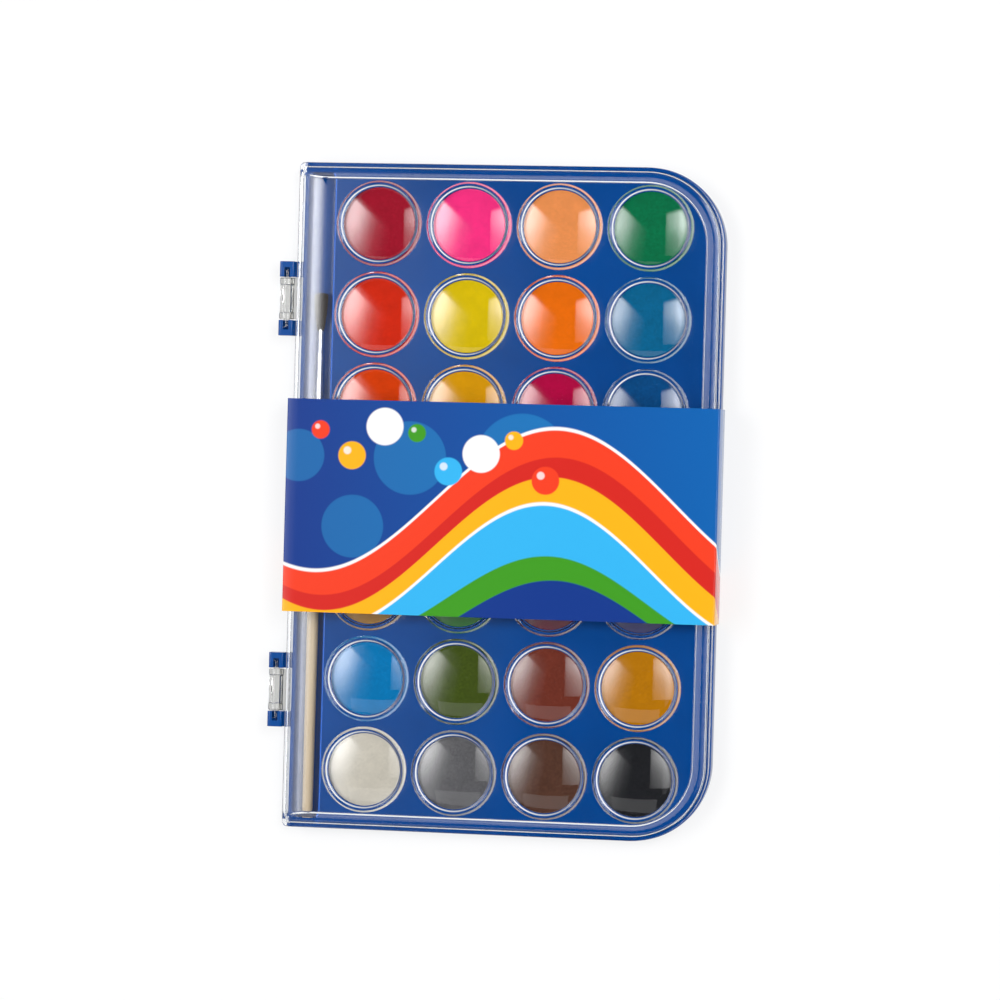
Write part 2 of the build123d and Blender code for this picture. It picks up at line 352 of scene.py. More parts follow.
def cell_edge(centre, outline):
    """Directions from a cell's middle, and how far the cell runs in each, to the next cell or the outline.

    The outline is (place of its right side, half its length, radius of its right corners). The directions
    start at the near right corner and turn left, in equal steps between the four corners, so that neighbours
    share their points. The distance to a straight side is its gap over the cosine or sine of the direction.
    Where the ray would leave through a rounded corner, it is the longer root of the circle's equation, and
    the cell's own corner is the middle of that rounding.
    """
    x, y = centre
    x1, half, corner_radius = outline
    inner = well_pitch / 2
    last_column = x > column_places[-1] - inner
    right = x1 if last_column else x + inner
    far = half if y > row_places[-1] - inner else y + inner
    near = -half if y < row_places[0] + inner else y - inner
    corners = np.array([(right, near), (right, far), (x - inner, far), (x - inner, near)])
    middle_cut = corner_radius * (1 - math.sqrt(0.5))
    if last_column and abs(corners[1, 1]) == half:
        corners[1] -= middle_cut
    if last_column and abs(corners[0, 1]) == half:
        corners[0] += (-middle_cut, middle_cut)
    bearings = np.arctan2(corners[:, 1] - y, corners[:, 0] - x)
    bearings = np.unwrap(np.append(bearings, bearings[0] + 2 * np.pi))
    sides = zip(bearings, bearings[1:])
    turn = np.concatenate([np.linspace(start, end, side_steps, endpoint=False) for start, end in sides])
    cos, sin = np.cos(turn), np.sin(turn)
    sideways = np.where(cos > 0, right - x, inner) / np.maximum(np.abs(cos), 1e-9)
    lengthways = np.where(sin > 0, far - y, y - near) / np.maximum(np.abs(sin), 1e-9)
    reach = np.minimum(sideways, lengthways)
    for side in (1, -1):
        dx, dy = x - (x1 - corner_radius), y - side * (half - corner_radius)
        along = dx * cos + dy * sin
        inside = along**2 - (dx**2 + dy**2 - corner_radius**2)
        root = -along + np.sqrt(np.maximum(inside, 0))
        rounded = (inside > 0) & (dx + root * cos > 0) & (side * (dy + root * sin) > 0)
        reach = np.where(rounded, np.minimum(reach, root), reach)
    return turn, reach


def cell_rim(centre, outline, first, last):
    """A cell's outer points between two of its steps."""
    turn, reach = cell_edge(centre, outline)
    return (np.array(centre) + reach[:, None] * unit_steps(turn))[first:last]


def round_rings(centre, radii, heights, turn):
    """Rings of points about an upright line, one for each height, with radii by ring and by direction."""
    x, y = centre
    return joined(x + radii * np.cos(turn), y + radii * np.sin(turn), heights[:, None])


def cell(centre, radii, heights, outline, level):
    """A round feature on a flat field: rings of the given radii and heights, then out to the cell's edge.

    Two more rings, just past the feature and just short of the edge, keep the field's shading flat.
    """
    turn, reach = cell_edge(centre, outline)
    rings = np.array(radii)[:, None] * np.ones(len(turn))
    near_edge = np.maximum(reach * flat_share, rings[-1] + 2 * flat_margin)
    rings = np.vstack([rings, rings[-1] + flat_margin, near_edge, reach])
    return round_rings(centre, rings, np.concatenate([heights, [level, level, level]]), turn)


def border(outline):
    """The cells' outer points, with normals, from the right side's middle round the +Y corner."""
    x1, half, corner_radius = outline
    middle = len(row_places) // 2
    line = [cell_rim((column_places[-1], row_places[middle]), outline, side_steps // 2, side_steps)]
    line += [cell_rim((column_places[-1], y), outline, 0, side_steps) for y in row_places[middle + 1 :]]
    line += [cell_rim((x, row_places[-1]), outline, side_steps, 2 * side_steps) for x in column_places[::-1]]
    line = np.concatenate(line)
    normals = np.maximum(line - (x1 - corner_radius, half - corner_radius), 0)
    return line, normals / np.linalg.norm(normals, axis=1)[:, None]


def hinge_stations(half):
    """Places along the hinge side, level with the first column's points, from one end to the other."""
    outline = (column_places[0] + well_pitch, half, 0)
    places = [-half]
    for y in row_places:
        left_side = cell_rim((column_places[0], y), outline, 2 * side_steps, 3 * side_steps)
        places.extend(left_side[::-1, 1])
    return np.array(places)


def ring_row(edge, inset, left, hinge_radius, height):
    """A closed row of points round the case, moved in from the cells' outer points, at one height.

    Both halves run along the cells, on over the strip beside the hinge, round a small corner and along the
    hinge side.
    """
    line, normals = edge
    free = line - normals * inset
    half = free[-1, 1]
    strip = joined(field_left + (left + hinge_radius - field_left) * shoulder_shares[:-1], half)
    corner = np.array([left + hinge_radius, half - hinge_radius]) + hinge_radius * unit_steps(hinge_turn)
    stations = hinge_stations(line[-1, 1])
    down = stations[stations > -1e-9][::-1][1:] / line[-1, 1] * (half - hinge_radius)
    upper = np.concatenate([free, strip, corner, joined(left, down)])
    lower = upper[1:-1][::-1] * (1, -1)
    return lifted(np.concatenate([upper, lower]), height)


def rounding(radius, steps=5):
    """A quarter turn from the top to the wall, in rows of distance from the wall and drop from the top."""
    turn = np.linspace(0, np.pi / 2, steps)
    return joined(radius * (1 - np.sin(turn)), radius * (1 - np.cos(turn)))


# Tray
# One blue moulding: a deck with round wells and a brush channel, a lip that the lid slips over, a rim that
# carries the lid's wall, and two pairs of hinge ears. Its edges are rounded as a mould leaves them.
well_radius = 11.7 * mm
well_edge = 0.45 * mm
well_floor = 2.6 * mm
well_fillet = 0.5 * mm
fillet_middle = 0.12 * mm
deck_edge = 0.35 * mm
tray_corner = 0.36 * mm
wall_foot = 0.6 * mm
rim_edge = 0.25 * mm
channel_wall = 1.3 * mm
channel_width = 8.0 * mm
channel_half = 99.2 * mm
channel_radius = 2.0 * mm
channel_edge = 0.6 * mm
channel_foot = ((0.0, 0.8), (0.25, 0.25), (0.8, 0.0), (1.9, 0.0))
base_thickness = 1.6 * mm
pocket_wall = 1.2 * mm
ear_edge = 0.45 * mm
# How far down the channel's edge its painted highlight reaches
highlight_depth = 0.5 * mm
slack = 0.01 * mm
deck_left = case_left + deck_inset
channel_left = deck_left + channel_wall
channel_middle = channel_left + channel_width / 2
blue_tint = (0.0, 0.06, 0.27, 1)
# Painted highlight: the brighter blue painted on the channel's thin edge for the light that passes through
# it
lit_edge_blue = (0.01, 0.15, 0.72, 1)


def shader_group(name, own_value):
    """A shared node group from a colour and its own value to a colour and a height, with its end nodes."""
    group = bpy.data.node_groups.new(name, "ShaderNodeTree")
    for way, value in (("INPUT", own_value), ("OUTPUT", "Height")):
        group.interface.new_socket("Colour", in_out=way, socket_type="NodeSocketColor")
        group.interface.new_socket(value, in_out=way, socket_type="NodeSocketFloat")
    return group, group.nodes.new("NodeGroupInput").outputs, group.nodes.new("NodeGroupOutput")


def noise(tree, scale, detail=2.0, stretch=None):
    """Smooth noise about 0.5, with its scale per metre. A stretch scales each direction first."""
    place = node(tree, "TexCoord").outputs["Object"]
    if stretch:
        place = node(tree, "Mapping", {"Vector": place, "Scale": stretch}).outputs[0]
    return node(tree, "TexNoise", {"Vector": place, "Scale": scale, "Detail": detail}).outputs[0]


def blend(tree, share, first, second):
    """A mix of two colours: the first where the share is 0, the second where it is 1."""
    return node(tree, "Mix", {0: share, 6: first, 7: second}, data_type="RGBA").outputs[2]


def shaded(tree, colour, shade):
    """A colour made darker or lighter by a factor."""
    return node(tree, "VectorMath", {0: colour, 3: shade}, operation="SCALE").outputs[0]


def bump_from(tree, height, shader, strength, distance):
    """Feeds a height to a shader's normal, with its depth in metres."""
    bump = node(tree, "Bump", {"Height": height, "Strength": strength, "Distance": distance})
    feed(tree, shader, {"Normal": bump.outputs["Normal"]})


tree, taken, given = shader_group("moulded_plastic", "Speck size")
moulded_plastic = tree
flow_shade = map_range(tree, noise(tree, 45.0), 0.3, 0.7, 0.9, 1.1)
specks = noise(tree, taken["Speck size"], 4.0)
feed(tree, given, {"Colour": shaded(tree, taken["Colour"], flow_shade), "Height": specks})

blue_plastic, tree, blue = new_material("blue_plastic", {"Roughness": 0.16, "Specular IOR Level": 0.35})
moulding_feeds = {"Colour": blue_tint, "Speck size": 900.0}
moulding = node(tree, "Group", moulding_feeds, node_tree=moulded_plastic).outputs
# A painted highlight: the channel's edge is painted a brighter blue for the light that it lets through
thin_edge = node(tree, "Attribute", attribute_name="thin_edge").outputs["Fac"]
feed(tree, blue, {"Base Color": blend(tree, thin_edge, moulding["Colour"], lit_edge_blue)})
bump_from(tree, moulding["Height"], blue, 0.25, 0.02 * mm)

# The deck with its wells, cell by cell
tray_grids = []
flat_inset = deck_inset + deck_edge
deck_outline = (case_right - flat_inset, case_half - flat_inset, free_radius - flat_inset)
edge_in, edge_drop = rounding(well_edge)[::-1].T
well_radii = [0.0, well_radius * 0.6, well_radius - well_fillet, well_radius - fillet_middle, well_radius]
well_radii = np.append(well_radii, well_radius + edge_in)
well_heights = [well_floor, well_floor, well_floor, well_floor + fillet_middle, well_floor + well_fillet]
well_heights = np.append(well_heights, deck_height - edge_drop)
for centre in well_centres:
    tray_grids.append((cell(centre, well_radii, well_heights, deck_outline, deck_height), True, True))

# The deck round the channel, the channel's rounded edge, its walls and its floor
deck_half = deck_outline[1]
deck_stations = hinge_stations(deck_half)
end_shares = shoulder_shares[1:-1]


def strip_ring(right, left, up, far_end, height):
    """A closed ring at one height: up the right side, the far end, down the left side, and the near end."""
    near_end = (far_end * (1, -1))[::-1]
    return lifted(np.concatenate([joined(right, up), far_end, joined(left, up[::-1]), near_end]), height)


def channel_ring(offset, height):
    """The channel's outline, moved outwards by the offset."""
    radius = channel_radius + offset
    turn = np.pi * end_shares
    ends = np.sign(np.cos(turn)) * (channel_width / 2 - channel_radius)
    end_x = channel_middle + ends + radius * np.cos(turn)
    far_end = joined(end_x, channel_half - channel_radius + radius * np.sin(turn))
    up = deck_stations * (channel_half - channel_radius) / deck_half
    reach = channel_width / 2 + offset
    return strip_ring(channel_middle + reach, channel_middle - reach, up, far_end, height)


strip_left = deck_left + deck_edge
strip_end = joined(field_left + (strip_left - field_left) * end_shares, deck_half)
channel_rings = [strip_ring(field_left, strip_left, deck_stations, strip_end, deck_height)]
channel_rings.append(channel_ring(channel_edge + 5 * slack, deck_height))
channel_rings += [channel_ring(inset, deck_height - drop) for inset, drop in rounding(channel_edge, 7)]
channel_rings += [channel_ring(-inset * mm, well_floor + rise * mm) for inset, rise in channel_foot]
middle_line = channel_rings[-1].copy()
middle_line[:, 0] = channel_middle
middle_line[:, 1] = np.clip(middle_line[:, 1], channel_radius - channel_half, channel_half - channel_radius)
tray_grids.append((np.array([*channel_rings, middle_line]), True, False))

# The lip, the rim and the outer wall
deck_border = border(deck_outline)
tray_rows = [ring_row(deck_border, 0, deck_left + deck_edge, 0, deck_height)]
tray_rows += [
    ring_row(deck_border, inset - deck_edge, deck_left + inset, tray_corner - inset, deck_height - drop)
    for inset, drop in rounding(deck_edge)[1:]
]
tray_rows.append(ring_row(deck_border, -deck_edge, deck_left, tray_corner, rim_height))
tray_rows += [
    ring_row(deck_border, inset - flat_inset, deck_left, tray_corner, rim_height - drop)
    for inset, drop in rounding(rim_edge)
]
tray_rows.append(ring_row(deck_border, -flat_inset, deck_left, tray_corner, wall_foot))
tray_grids.append((np.array(tray_rows), True, True))
tray = shell("tray", tray_grids, blue_plastic)

# The channel's right edge is thin. The light that it lets through is a painted highlight: a brighter blue,
# marked by an attribute of its own
points = vectors_of(tray.data.vertices, "co")
beside_channel = np.abs(points[:, 0] - channel_middle - channel_width / 2) < channel_edge
near_top = (points[:, 2] > deck_height - highlight_depth) & (points[:, 2] < deck_height - slack)
highlight_mask = tray.data.attributes.new("thin_edge", "FLOAT", "POINT")
highlight_mask.data.foreach_set("value", (beside_channel & near_top).astype(float))

# The underside, the feet, the ribs and the hinge ears keep the solid's faces, with small rounded edges
underside = mesh_object("tray_underside", [], [], blue_plastic)
work = bmesh.new()
work.from_mesh(frame["nodes"]["base_tray"].data)
bmesh.ops.remove_doubles(work, verts=work.verts, dist=weld_distance)
pocket_reach = well_pitch - math.sqrt(2) * (well_radius + pocket_wall)
pockets = [(x + well_pitch / 2, y + well_pitch / 2) for x in column_places[:-1] for y in row_places[:-1]]


def is_under(face):
    """Whether a face of the solid tray lies below the deck, in a coring pocket or on the hinge side."""
    middle = face.calc_center_median()
    top = max(vertex.co.z for vertex in face.verts)
    in_pocket = any(abs(middle.x - x) + abs(middle.y - y) < pocket_reach + slack for x, y in pockets)
    low_face = top < base_thickness + slack or (in_pocket and top < rim_height + slack)
    return middle.x < deck_left - slack or low_face


bmesh.ops.delete(work, geom=[face for face in work.faces if not is_under(face)], context="FACES")
bmesh.ops.dissolve_limit(work, angle_limit=math.radians(1), verts=work.verts, edges=work.edges)
work.to_mesh(underside.data)
work.free()
ear_rounding = underside.modifiers.new("rounded edges", "BEVEL")
ear_rounding.width = ear_edge
ear_rounding.segments = 3
ear_rounding.limit_method = "ANGLE"
ear_rounding.angle_limit = math.radians(40)
for piece in (tray, underside):
    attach(piece, "tray")
    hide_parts("base_tray")

# Paint cakes
# Watercolour pigment pressed into the wells: matte and chalky, with the fine grain of the press cloth, a
# slightly raised middle and a worn outer edge. Every cake has its own colour.
cake_radius = 11.4 * mm
cake_top = 6.4 * mm
cake_crown = 0.12 * mm
cake_side = 1.5 * mm
cake_steps = 72
top_shares = (0.0, 0.25, 0.5, 0.7, 0.85, 0.93, 0.97, 0.99, 1.0)
edge_wear = (0.04 * mm, 0.16 * mm, 0.42 * mm)
palest_total = 1.2
least_grain = 0.3
dark_grain = 1.1
cake_colours = {
    "crimson": (0.35, 0.006, 0.021), "hot_pink": (0.98, 0.03, 0.21), "peach": (0.86, 0.28, 0.08),
    "emerald": (0.0, 0.155, 0.055), "vermilion": (0.66, 0.022, 0.004), "lemon_yellow": (0.72, 0.50, 0.0),
    "orange": (0.86, 0.15, 0.0), "teal": (0.0, 0.12, 0.26), "scarlet": (0.74, 0.05, 0.0),
    "amber": (0.74, 0.33, 0.0), "magenta": (0.48, 0.0, 0.052), "azure": (0.0, 0.066, 0.22),
    "coral": (0.75, 0.15, 0.09), "lime_green": (0.17, 0.45, 0.01), "plum": (0.14, 0.006, 0.10),
    "turquoise": (0.0, 0.33, 0.32), "gold_ochre": (0.48, 0.22, 0.02), "grass_green": (0.0, 0.18, 0.007),
    "maroon": (0.155, 0.0, 0.021), "indigo": (0.03, 0.03, 0.155), "sky_blue": (0.0, 0.185, 0.45),
    "olive": (0.053, 0.08, 0.007), "russet": (0.165, 0.03, 0.016), "yellow_ochre": (0.49, 0.18, 0.0),
    "white": (0.62, 0.56, 0.46), "grey": (0.117, 0.112, 0.115), "dark_brown": (0.09, 0.036, 0.021),
    "black": (0.012, 0.012, 0.014),
}

tree, taken, given = shader_group("pressed_pigment", "Grain depth")
pressed_pigment = tree
grain = noise(tree, 1900.0, 3.0)
grain_shade = maths(tree, "MULTIPLY_ADD", maths(tree, "SUBTRACT", grain, 0.5), taken["Grain depth"], 1.0)
cloud_shade = map_range(tree, noise(tree, 260.0, 5.0), 0.3, 0.7, 0.94, 1.06)
pigment_shade = maths(tree, "MULTIPLY", grain_shade, cloud_shade)
feed(tree, given, {"Colour": shaded(tree, taken["Colour"], pigment_shade), "Height": grain})


def paint_material(colour_name):
    """Chalky pigment of one colour. Its grain shows less, the paler the colour is."""
    colour = cake_colours[colour_name]
    paleness = min(sum(colour) / palest_total, 1)
    grain_depth = least_grain + dark_grain * (1 - paleness) ** 2
    values = {"Roughness": 0.75, "Specular IOR Level": 0.1}
    material, tree, shader = new_material(f"{colour_name}_paint", values)
    feeds = {"Colour": (*colour, 1), "Grain depth": grain_depth}
    pigment = node(tree, "Group", feeds, node_tree=pressed_pigment).outputs
    feed(tree, shader, {"Base Color": pigment["Colour"]})
    bump_from(tree, pigment["Height"], shader, 0.35, 0.03 * mm)
    return material


def full_turn(steps):
    """Directions in equal steps round a circle."""
    return np.arange(steps) * 2 * np.pi / steps


def cake_shape(centre):
    """A round cake: a low crown in the middle, a flat field, a worn edge, and a straight side.

    The crown's height falls with the square of the distance from the middle.
    """
    share = np.array(top_shares)
    worn = np.zeros(len(share))
    worn[-len(edge_wear) :] = edge_wear
    heights = cake_top + cake_crown * (1 - share**2) - worn
    share = np.append(share, (1.0, 1.0, 0.0))
    heights = np.append(heights, (cake_floor + cake_side, cake_floor, cake_floor))
    return round_rings(centre, (share * cake_radius)[:, None], heights, full_turn(cake_steps))


for node_name, centre in cake_centres.items():
    colour_name = node_name.removesuffix("_cake")
    pigment = paint_material(colour_name)
    cake = shell(f"{colour_name}_paint_cake", [(cake_shape(centre), True, True)], pigment)
    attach(cake, "tray")
    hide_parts(node_name)

# Lid
# Clear polystyrene, moulded in one piece: a wall that slips over the tray's lip, a narrow ledge, a sloped
# step up to the plateau, a ring and a lens dome over every cake, and a rounded shoulder on the hinge side.
lid_left = case_left + lid_reveal
lid_right = case_right - lid_reveal
lid_half = case_half - lid_reveal
plateau_height = 13.0 * mm
ledge_height = 11.5 * mm
plate_thickness = 1.3 * mm
ledge_width = 3.0 * mm
step_width = 1.5 * mm
step_shift = 0.6 * mm
lid_seat = 6.9 * mm
lid_edge = 0.22 * mm
foot_edge = 0.15 * mm
outer_corner = 1.65 * mm
inner_corner = 0.45 * mm
inner_edge = 0.4 * mm
shoulder_radius = 20.0 * mm
shoulder_start = lid_left + 9.2 * mm
dome_radius = 11.1 * mm
dome_rise = 1.5 * mm
dish_radius = 10.6 * mm
dish_rise = 1.0 * mm
dish_rim = 11.2 * mm
lid_tint = (0.97, 0.985, 1.0)
shadow_tint = (0.93, 0.94, 0.95, 1)
ledge_inset = ledge_width + step_width
plateau_radius = free_radius - lid_reveal - ledge_inset
plateau_outline = (lid_right - ledge_inset, lid_half - ledge_inset, plateau_radius)
inner_outline = tuple(size - step_shift for size in plateau_outline)
inner_left = lid_left + lid_wall


def shoulder(x, inset=0.0):
    """The greatest height of the lid at x: level, then falling on a circle towards the hinge wall."""
    past = np.maximum(shoulder_start - x, 0)
    return plateau_height - shoulder_radius + np.sqrt((shoulder_radius - inset) ** 2 - past**2)


def lid_row(edge, outset, left, hinge_radius, height, drop=0.0, depth=0.0):
    """A row round the lid, at a height that the shoulder limits, less the drop."""
    row = ring_row(edge, -outset, left, hinge_radius, height)
    row[:, 2] = np.minimum(row[:, 2], shoulder(row[:, 0], depth)) - drop
    return row


# The step, the ledge and the wall, outside and inside
plateau_edge = border(plateau_outline)
step = np.array([0.0, 0.06, 0.16, 0.3, 0.5, 0.7, 0.84, 0.94, 1.0])
step_fall = step**2 * (3 - 2 * step) * 0.25 + step * 0.75
step_drop = plateau_height - ledge_height
inner_ledge = ledge_height - plate_thickness
inner_out = ledge_inset - lid_wall
lid_rows = [
    lid_row(plateau_edge, step_width * share, lid_left, 0, plateau_height - step_drop * fall)
    for share, fall in zip(step, step_fall)
]
lid_rows += [
    lid_row(plateau_edge, ledge_inset - inset, lid_left + inset, outer_corner - inset, ledge_height, drop)
    for inset, drop in rounding(lid_edge, 6)
]
foot_rows = (
    (ledge_inset, lid_left, outer_corner, lid_seat + foot_edge),
    (ledge_inset - foot_edge, lid_left + foot_edge, outer_corner - foot_edge, lid_seat),
    (inner_out + foot_edge, inner_left - foot_edge, inner_corner + foot_edge, lid_seat),
    (inner_out, inner_left, inner_corner, lid_seat + foot_edge),
)
for outset, left, corner, height in foot_rows:
    lid_rows.append(ring_row(plateau_edge, -outset, left, corner, height))
for inset, drop in rounding(inner_edge, 4)[::-1]:
    place = (inner_out - inset, inner_left + inset, inner_corner - inset)
    lid_rows.append(lid_row(plateau_edge, *place, inner_ledge, drop, plate_thickness))
inner_foot = ring_row(plateau_edge, step_shift - step_width, inner_left, 0, 0)
inner_top = ring_row(border(inner_outline), 0, inner_left, 0, 0)
for share, rise in zip(step, step_fall):
    row = inner_foot + (inner_top - inner_foot) * share
    row[:, 2] = np.minimum(inner_ledge + step_drop * rise, shoulder(row[:, 0], plate_thickness))
    lid_rows.append(row)
lid_grids = [(np.array(lid_rows), True, True)]


def shoulder_sheet(half, left, depth):
    """The level strip and the rounded shoulder between the first column of domes and the hinge wall."""
    places = field_left + (left - field_left) * shoulder_shares
    heights = np.minimum(plateau_height - depth, shoulder(places, depth))
    return joined(places, hinge_stations(half)[:, None], heights)


lid_grids.append((shoulder_sheet(plateau_outline[1], lid_left, 0), False, True))
lid_grids.append((shoulder_sheet(inner_outline[1], inner_left, plate_thickness), False, False))


def cap(radius, rise, steps):
    """Radii and heights of a spherical cap, from its middle to its rim.

    The ball's radius is (radius squared + rise squared) / (2 rise), and the height at a distance d from the
    middle is rise - ball + the root of (ball squared - d squared).
    """
    ball = (radius**2 + rise**2) / (2 * rise)
    radii = np.sin(np.linspace(0, np.pi / 2, steps)) * radius
    return radii, rise - ball + np.sqrt(ball**2 - radii**2)


# The plateau's domes and their rings outside, and the dish under each dome
ring_profile = [(11.15, 0.0), (11.3, 0.02), (11.42, 0.08), (11.52, 0.16), (11.9, 0.46), (12.0, 0.54)]
ring_profile += [(12.12, 0.62), (12.25, 0.64), (12.5, 0.64), (12.62, 0.62), (12.7, 0.57), (13.15, 0.07)]
ring_profile += [(13.22, 0.02), (13.3, 0.0)]
ring_radii, ring_heights = np.array(ring_profile).T * mm
inner_flank = (ring_radii[3], ring_radii[4])
outer_flank = (ring_radii[10], ring_radii[11])
dome_radii, dome_heights = cap(dome_radius, dome_rise, 9)
outer_radii = np.concatenate([dome_radii, ring_radii])
outer_heights = plateau_height + np.concatenate([dome_heights, ring_heights])
dish_radii, dish_heights = cap(dish_radius, dish_rise, 6)
ceiling = plateau_height - plate_thickness
inner_radii = np.append(dish_radii, dish_rim)
inner_heights = ceiling + np.append(dish_heights, 0.0)
for centre in well_centres:
    lid_grids.append((cell(centre, outer_radii, outer_heights, plateau_outline, plateau_height), True, True))
    lid_grids.append((cell(centre, inner_radii, inner_heights, inner_outline, ceiling), True, False))


def clear_material(name, tint, mirror=0.0, roughness=0.015):
    """Clear polystyrene of a tint. Shadow rays and diffuse rays pass straight through it.

    The mirror share is for the flanks of the rings, where the real plastic reflects all light from inside.
    """
    values = {"Base Color": (*tint, 1), "Metallic": mirror, "Roughness": roughness, "IOR": 1.58}
    material, tree, shader = new_material(name, {**values, "Transmission Weight": 1.0})
    bump_from(tree, noise(tree, 60.0), shader, 0.05, 0.3 * mm)
    ray = node(tree, "LightPath")
    lit = maths(tree, "MAXIMUM", ray.outputs["Is Shadow Ray"], ray.outputs["Is Diffuse Ray"])
    mix_into_surface(tree, lit, shader, node(tree, "BsdfTransparent", {0: shadow_tint}))
    return material


lid = shell(
    "clear_lid",
    lid_grids,
    clear_material("clear_plastic", lid_tint),
    clear_material("clear_plastic_inner_ring", lid_tint, 1.0, 0.14),
    clear_material("clear_plastic_outer_ring", lid_tint, 0.28, 0.08),
)
middles = vectors_of(lid.data.polygons, "center")
from_well = np.min([np.hypot(*(middles[:, :2] - centre).T) for centre in well_centres], axis=0)
on_top = middles[:, 2] > plateau_height
ring_face = np.zeros(len(middles), np.int32)
for number, (start, end) in enumerate((inner_flank, outer_flank), 1):
    ring_face[on_top & (from_well > start) & (from_well < end)] = number
lid.data.polygons.foreach_set("material_index", ring_face)
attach(lid, "lid")
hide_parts("lid")

# Hinge barrels
# Clear barrels, moulded on the lid's wall with a short web, each with a collar and a pin at either end and
# ribs along its waist. The pins turn in the tray's ears.
hinge_x, _, hinge_z = next(joint["pos_m"] for joint in frame["joints"] if joint["name"] == "lid_hinge")
hinge_middles = (60.6 * mm, -60.6 * mm)
barrel_half = 6.4 * mm
collar_length = 2.0 * mm
barrel_radius = 2.4 * mm
waist_radius = 2.05 * mm
pin_radius = 1.0 * mm
pin_length = 2.6 * mm
barrel_turn = full_turn(48)
ribs = 0.26 * mm * np.maximum(np.cos(6 * barrel_turn), 0)
web_start = 1.2 * mm
web_overlap = 0.02 * mm
web_height = 1.7 * mm
web_edge = 0.1 * mm
# Painted shade: the grey tint darkens the clear barrels and webs, standing in for darker surroundings seen
# through them
barrel_shade_tint = (0.62, 0.62, 0.60)


def turned(axis_x, axis_z, places, radii, turn):
    """Rings about a line along Y, one for each place, with radii by ring and by direction."""
    return joined(axis_x + radii * np.cos(turn), places[:, None], axis_z + radii * np.sin(turn))


def barrel_shape(hinge_y):
    """Rings along the hinge line. The waist's radius grows by a rib six times in a turn."""
    collar = barrel_half - collar_length
    pin_end = barrel_half + pin_length
    half_profile = [
        (0.0, waist_radius, 1), (collar - 0.15 * mm, waist_radius, 1), (collar, barrel_radius - 0.1 * mm, 0),
        (collar + 0.12 * mm, barrel_radius, 0), (barrel_half - 0.2 * mm, barrel_radius, 0),
        (barrel_half, barrel_radius - 0.2 * mm, 0), (barrel_half, pin_radius + 0.1 * mm, 0),
        (barrel_half + 0.1 * mm, pin_radius, 0), (pin_end - 0.15 * mm, pin_radius, 0),
        (pin_end, pin_radius - 0.15 * mm, 0), (pin_end, 0.0, 0),
    ]
    profile = [(-place, radius, ribbed) for place, radius, ribbed in half_profile[:0:-1]] + half_profile
    places, radii, ribbed = np.array(profile).T
    return turned(hinge_x, hinge_z, hinge_y + places, radii[:, None] + ribs * ribbed[:, None], barrel_turn)


def block_shape(low, high, edge):
    """A closed block with bevelled edges, as rings from its bottom to its top."""
    middle = [(low[0] + high[0]) / 2, (low[1] + high[1]) / 2]
    rows = [[(*middle, low[2])] * 4]
    for height, inset in ((low[2], edge), (low[2] + edge, 0), (high[2] - edge, 0), (high[2], edge)):
        x0, y0, x1, y1 = low[0] + inset, low[1] + inset, high[0] - inset, high[1] - inset
        rows.append([(x0, y0, height), (x1, y0, height), (x1, y1, height), (x0, y1, height)])
    rows.append([(*middle, high[2])] * 4)
    return np.array(rows)


# Barrels and webs share one clear plastic whose grey tint is painted shade
barrel_plastic = clear_material("barrel_plastic", barrel_shade_tint)
for side_name, hinge_y in zip(("upper", "lower"), hinge_middles):
    barrel = shell(f"hinge_barrel_{side_name}", [(barrel_shape(hinge_y), True, True)], barrel_plastic)
    web_low = (hinge_x + web_start, hinge_y - barrel_half, hinge_z)
    web_high = (lid_left + web_overlap, hinge_y + barrel_half, hinge_z + web_height)
    web_grid = (block_shape(web_low, web_high, web_edge), True, False)
    web = shell(f"hinge_web_{side_name}", [web_grid], barrel_plastic)
    for piece in (barrel, web):
        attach(piece, "lid")

# Brush handle
# Round birch, bare, tapered towards both ends and pressed into the ferrule. It lies in the tray's channel
# and slides along it with the ferrule and the tuft. Its radii along the brush come from the solid.
brush_low, brush_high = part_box("brush_handle")
brush_x = (brush_low.x + brush_high.x) / 2
brush_z = (brush_low.z + brush_high.z) / 2
dark_birch = (0.50, 0.35, 0.19, 1)
pale_birch = (0.76, 0.60, 0.40, 1)


def brush_part(name, node_name, material):
    """A round part of the brush, with the greatest radius that the solid has at each of its places."""
    points = vectors_of(frame["nodes"][node_name].data.vertices, "co")
    distance = np.hypot(points[:, 0] - brush_x, points[:, 2] - brush_z)
    places, member = np.unique(np.round(points[:, 1], 5), return_inverse=True)
    radii = [distance[member == index].max() for index in range(len(places))]
    places = np.concatenate([places[:1], places, places[-1:]])
    rings = turned(brush_x, brush_z, places, np.array([0, *radii, 0])[:, None], full_turn(40))
    return shell(name, [(rings, True, True)], material)


birch, tree, wood = new_material("birch", {"Roughness": 0.55})
fibres = noise(tree, 1.0, 4.0, (900.0, 22.0, 900.0))
feed(tree, wood, {"Base Color": blend(tree, fibres, dark_birch, pale_birch)})
bump_from(tree, fibres, wood, 0.4, 0.05 * mm)

handle = brush_part("birch_handle", "brush_handle", birch)
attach(handle, "brush")
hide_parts("brush_handle")

# Brush ferrule
# A bright metal tube, crimped on the handle, with fine scratches round it. Its radii come from the solid.
ferrule_grey = (0.86, 0.86, 0.86, 1)

bright_metal, tree, metal = new_material("ferrule_metal", {"Base Color": ferrule_grey, "Metallic": 1.0})
scratches = noise(tree, 1.0, 3.0, (60.0, 2600.0, 60.0))
feed(tree, metal, {"Roughness": map_range(tree, scratches, 0.0, 1.0, 0.22, 0.42)})
bump_from(tree, scratches, metal, 0.15, 0.01 * mm)

ferrule = brush_part("crimped_ferrule", "brush_ferrule", bright_metal)
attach(ferrule, "brush")
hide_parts("brush_ferrule")

